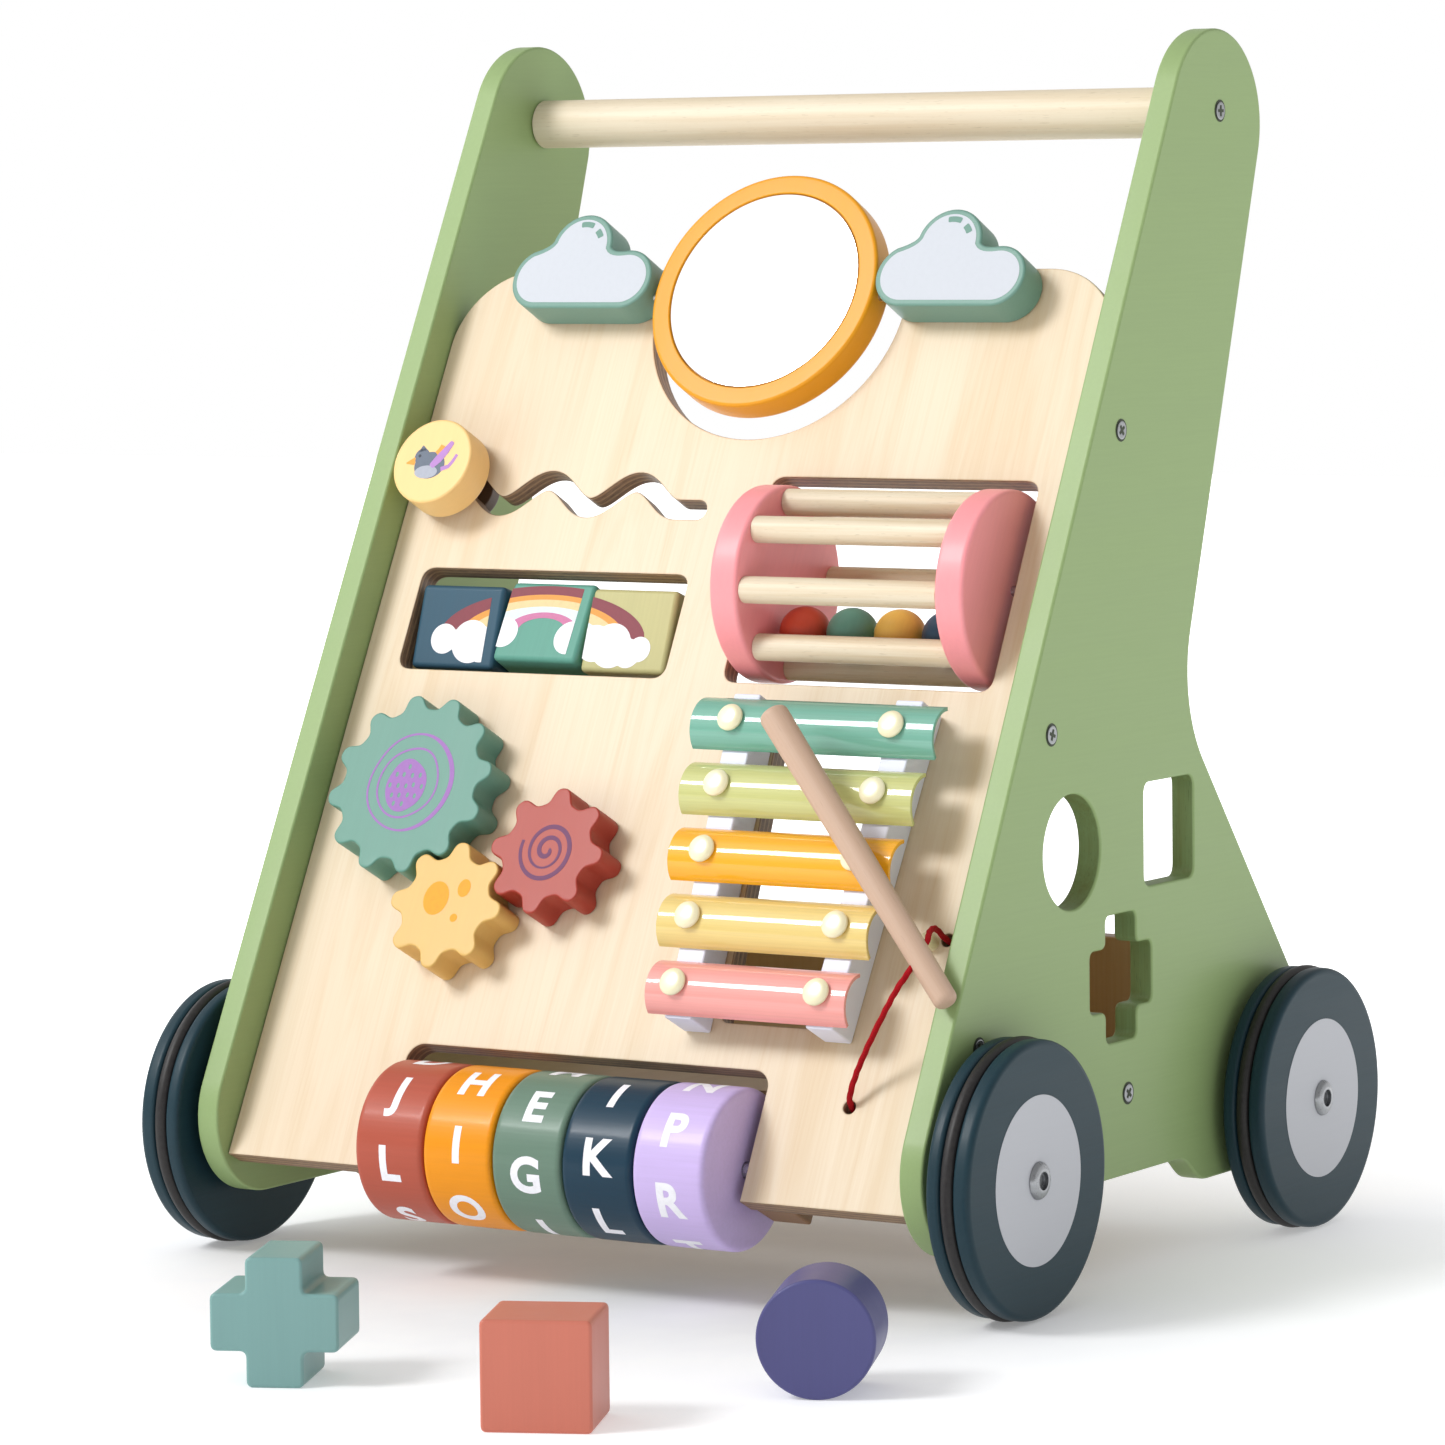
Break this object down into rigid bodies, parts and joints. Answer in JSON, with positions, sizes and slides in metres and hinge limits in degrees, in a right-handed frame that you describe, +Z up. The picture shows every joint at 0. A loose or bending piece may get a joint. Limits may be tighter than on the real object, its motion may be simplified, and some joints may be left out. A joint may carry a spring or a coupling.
{
  "type": "wooden baby walker",
  "caption": "Wooden push walker with a slanted activity board between two side panels, four wheels, a handle bar and loose sorting blocks.",
  "frame": {"origin": "middle of the base of the box around the walker and its three loose blocks, at floor level", "axes": "+Z up, -Y towards the toys on the activity board, +X to the right of someone who faces the board"},
  "size_m": [0.401, 0.545, 0.4778],
  "materials": {
    "sage_paint": "satin sage-green paint on plywood",
    "birch_ply": "clear-lacquered birch plywood with dark cut edges",
    "beech_dowel": "clear-lacquered beech",
    "amber_paint": "satin amber paint",
    "mirror_glass": "acrylic mirror",
    "steel": "zinc-plated steel",
    "cloud_paint": "satin teal paint with a printed pale face",
    "knob_paint": "satin pale yellow paint with a printed bird",
    "cube_blue": "satin print",
    "cube_teal": "satin print",
    "cube_lime": "satin print",
    "drum_pink": "satin pink paint",
    "ball_red": "gloss paint",
    "ball_green": "gloss paint",
    "ball_yellow": "gloss paint",
    "ball_navy": "gloss paint",
    "gear_teal": "satin paint with printed rings",
    "gear_yellow": "satin paint with printed spots",
    "gear_coral": "satin paint with a printed spiral",
    "chime_green": "gloss enamel",
    "chime_lime": "gloss enamel",
    "chime_orange": "gloss enamel",
    "chime_yellow": "gloss enamel",
    "chime_pink": "gloss enamel",
    "rail_white": "matt white paint",
    "mallet_beech": "raw beech",
    "cord_red": "braided cord",
    "wheel_paint": "satin slate-blue paint",
    "tyre_rubber": "black rubber",
    "roller_brick": "satin paint with white letters",
    "roller_orange": "satin paint with white letters",
    "roller_green": "satin paint with white letters",
    "roller_navy": "satin paint with white letters",
    "roller_lavender": "satin paint with white letters",
    "block_coral": "satin paint",
    "block_teal": "satin paint",
    "block_purple": "satin paint"
  },
  "bodies": {
    "frame": {"side_panel_left": "sage_paint", "side_panel_right": "sage_paint", "activity_board": "birch_ply", "floor_board": "birch_ply", "rear_board": "birch_ply", "handle_bar": "beech_dowel", "cloud_left": "cloud_paint", "cloud_right": "cloud_paint", "mirror_axle": "steel", "cube_axle": "steel", "cube_axle_block_left": "beech_dowel", "cube_axle_block_right": "beech_dowel", "roller_axle": "steel", "roller_block_left": "beech_dowel", "roller_block_right": "beech_dowel", "chime_rail_left": "rail_white", "chime_rail_right": "rail_white", "wheel_bolt_front_left": "steel", "wheel_bolt_front_right": "steel", "wheel_bolt_rear_left": "steel", "wheel_bolt_rear_right": "steel", "chime_bar_green": "chime_green", "chime_bar_lime": "chime_lime", "chime_bar_orange": "chime_orange", "chime_bar_yellow": "chime_yellow", "chime_bar_pink": "chime_pink"},
    "wheel_front_left_body": {"wheel_front_left": "wheel_paint", "tyre_front_left": "tyre_rubber"},
    "wheel_front_right_body": {"wheel_front_right": "wheel_paint", "tyre_front_right": "tyre_rubber"},
    "wheel_rear_left_body": {"wheel_rear_left": "wheel_paint", "tyre_rear_left": "tyre_rubber"},
    "wheel_rear_right_body": {"wheel_rear_right": "wheel_paint", "tyre_rear_right": "tyre_rubber"},
    "mirror_body": {"mirror_frame": "amber_paint", "mirror_glass": "mirror_glass"},
    "drum_body": {"drum_cage": "drum_pink", "drum_disc_right": "drum_pink"},
    "ball_red_body": {"drum_ball_red": "ball_red"},
    "ball_green_body": {"drum_ball_green": "ball_green"},
    "ball_yellow_body": {"drum_ball_yellow": "ball_yellow"},
    "ball_navy_body": {"drum_ball_navy": "ball_navy"},
    "cube_blue_body": {"picture_cube_blue": "cube_blue"},
    "cube_teal_body": {"picture_cube_teal": "cube_teal"},
    "cube_lime_body": {"picture_cube_lime": "cube_lime"},
    "roller_1_body": {"letter_roller_1": "roller_brick"},
    "roller_2_body": {"letter_roller_2": "roller_orange"},
    "roller_3_body": {"letter_roller_3": "roller_green"},
    "roller_4_body": {"letter_roller_4": "roller_navy"},
    "roller_5_body": {"letter_roller_5": "roller_lavender"},
    "gear_teal_body": {"gear_teal": "gear_teal"},
    "gear_yellow_body": {"gear_yellow": "gear_yellow"},
    "gear_coral_body": {"gear_coral": "gear_coral"},
    "knob_body": {"slider_knob": "knob_paint", "slider_retainer": "beech_dowel"},
    "mallet_body": {"mallet": "mallet_beech", "mallet_cord": "cord_red"},
    "block_square_body": {"block_square": "block_coral"},
    "block_cross_body": {"block_cross": "block_teal"},
    "block_round_body": {"block_round": "block_purple"}
  },
  "joints": [
    {"name": "wheel_front_left_spin", "type": "hinge", "parent": "frame", "child": "wheel_front_left_body", "pos_m": [-0.01, -0.01, 0.0525], "axis": [1, 0, 0], "continuous": true},
    {"name": "wheel_front_right_spin", "type": "hinge", "parent": "frame", "child": "wheel_front_right_body", "pos_m": [-0.01, -0.01, 0.0525], "axis": [1, 0, 0], "continuous": true},
    {"name": "wheel_rear_left_spin", "type": "hinge", "parent": "frame", "child": "wheel_rear_left_body", "pos_m": [-0.01, 0.22, 0.0525], "axis": [1, 0, 0], "continuous": true},
    {"name": "wheel_rear_right_spin", "type": "hinge", "parent": "frame", "child": "wheel_rear_right_body", "pos_m": [-0.01, 0.22, 0.0525], "axis": [1, 0, 0], "continuous": true},
    {"name": "mirror_flip", "type": "hinge", "parent": "frame", "child": "mirror_body", "pos_m": [-0.01, 0.11151, 0.37452], "axis": [1, 0, 0], "continuous": true},
    {"name": "drum_spin", "type": "hinge", "parent": "frame", "child": "drum_body", "pos_m": [0.0675, 0.06929, 0.26303], "axis": [1, 0, 0], "continuous": true},
    {"name": "ball_red_roll", "type": "slide", "parent": "drum_body", "child": "ball_red_body", "axis": [1, 0, 0], "range_m": [-0.0016, 0.0016]},
    {"name": "ball_green_roll", "type": "slide", "parent": "drum_body", "child": "ball_green_body", "axis": [1, 0, 0], "range_m": [-0.0016, 0.0016]},
    {"name": "ball_yellow_roll", "type": "slide", "parent": "drum_body", "child": "ball_yellow_body", "axis": [1, 0, 0], "range_m": [-0.0016, 0.0016]},
    {"name": "ball_navy_roll", "type": "slide", "parent": "drum_body", "child": "ball_navy_body", "axis": [1, 0, 0], "range_m": [-0.0016, 0.0016]},
    {"name": "cube_blue_turn", "type": "hinge", "parent": "frame", "child": "cube_blue_body", "pos_m": [-0.1247, 0.0717, 0.23801], "axis": [1, 0, 0], "continuous": true},
    {"name": "cube_teal_turn", "type": "hinge", "parent": "frame", "child": "cube_teal_body", "pos_m": [-0.0837, 0.0717, 0.23801], "axis": [1, 0, 0], "continuous": true},
    {"name": "cube_lime_turn", "type": "hinge", "parent": "frame", "child": "cube_lime_body", "pos_m": [-0.0427, 0.0717, 0.23801], "axis": [1, 0, 0], "continuous": true},
    {"name": "roller_1_turn", "type": "hinge", "parent": "frame", "child": "roller_1_body", "pos_m": [-0.0734, -0.03821, 0.05204], "axis": [1, 0, 0], "continuous": true},
    {"name": "roller_2_turn", "type": "hinge", "parent": "frame", "child": "roller_2_body", "pos_m": [-0.0417, -0.03821, 0.05204], "axis": [1, 0, 0], "continuous": true},
    {"name": "roller_3_turn", "type": "hinge", "parent": "frame", "child": "roller_3_body", "pos_m": [-0.01, -0.03821, 0.05204], "axis": [1, 0, 0], "continuous": true},
    {"name": "roller_4_turn", "type": "hinge", "parent": "frame", "child": "roller_4_body", "pos_m": [0.0217, -0.03821, 0.05204], "axis": [1, 0, 0], "continuous": true},
    {"name": "roller_5_turn", "type": "hinge", "parent": "frame", "child": "roller_5_body", "pos_m": [0.0534, -0.03821, 0.05204], "axis": [1, 0, 0], "continuous": true},
    {"name": "gear_teal_turn", "type": "hinge", "parent": "frame", "child": "gear_teal_body", "pos_m": [-0.11481, 0.01334, 0.18163], "axis": [0, -0.891, 0.454], "continuous": true},
    {"name": "gear_yellow_turn", "type": "hinge", "parent": "frame", "child": "gear_yellow_body", "pos_m": [-0.0825, -0.00907, 0.13764], "axis": [0, -0.891, 0.454], "continuous": true},
    {"name": "gear_coral_turn", "type": "hinge", "parent": "frame", "child": "gear_coral_body", "pos_m": [-0.04226, 0.00212, 0.15962], "axis": [0, -0.891, 0.454], "continuous": true},
    {"name": "knob_slide", "type": "slide", "parent": "frame", "child": "knob_body", "axis": [0.9772, -0.0963, -0.1891], "range_m": [0, 0.014]},
    {"name": "mallet_lift", "type": "slide", "parent": "frame", "child": "mallet_body", "axis": [0, -0.891, 0.454], "range_m": [0, 0.012]},
    {"name": "block_square_lift", "type": "slide", "parent": "frame", "child": "block_square_body", "axis": [0, 0, 1], "range_m": [0, 0.1]},
    {"name": "block_cross_lift", "type": "slide", "parent": "frame", "child": "block_cross_body", "axis": [0, 0, 1], "range_m": [0, 0.1]},
    {"name": "block_round_lift", "type": "slide", "parent": "frame", "child": "block_round_body", "axis": [0, 0, 1], "range_m": [0, 0.1]}
  ],
  "couplings": [
    {"joint": "gear_yellow_turn", "follows": "gear_teal_turn", "ratio": -1.5},
    {"joint": "gear_coral_turn", "follows": "gear_teal_turn", "ratio": 1.5},
    {"joint": "ball_green_roll", "follows": "ball_red_roll", "ratio": 1},
    {"joint": "ball_yellow_roll", "follows": "ball_red_roll", "ratio": 1},
    {"joint": "ball_navy_roll", "follows": "ball_red_roll", "ratio": 1}
  ]
}
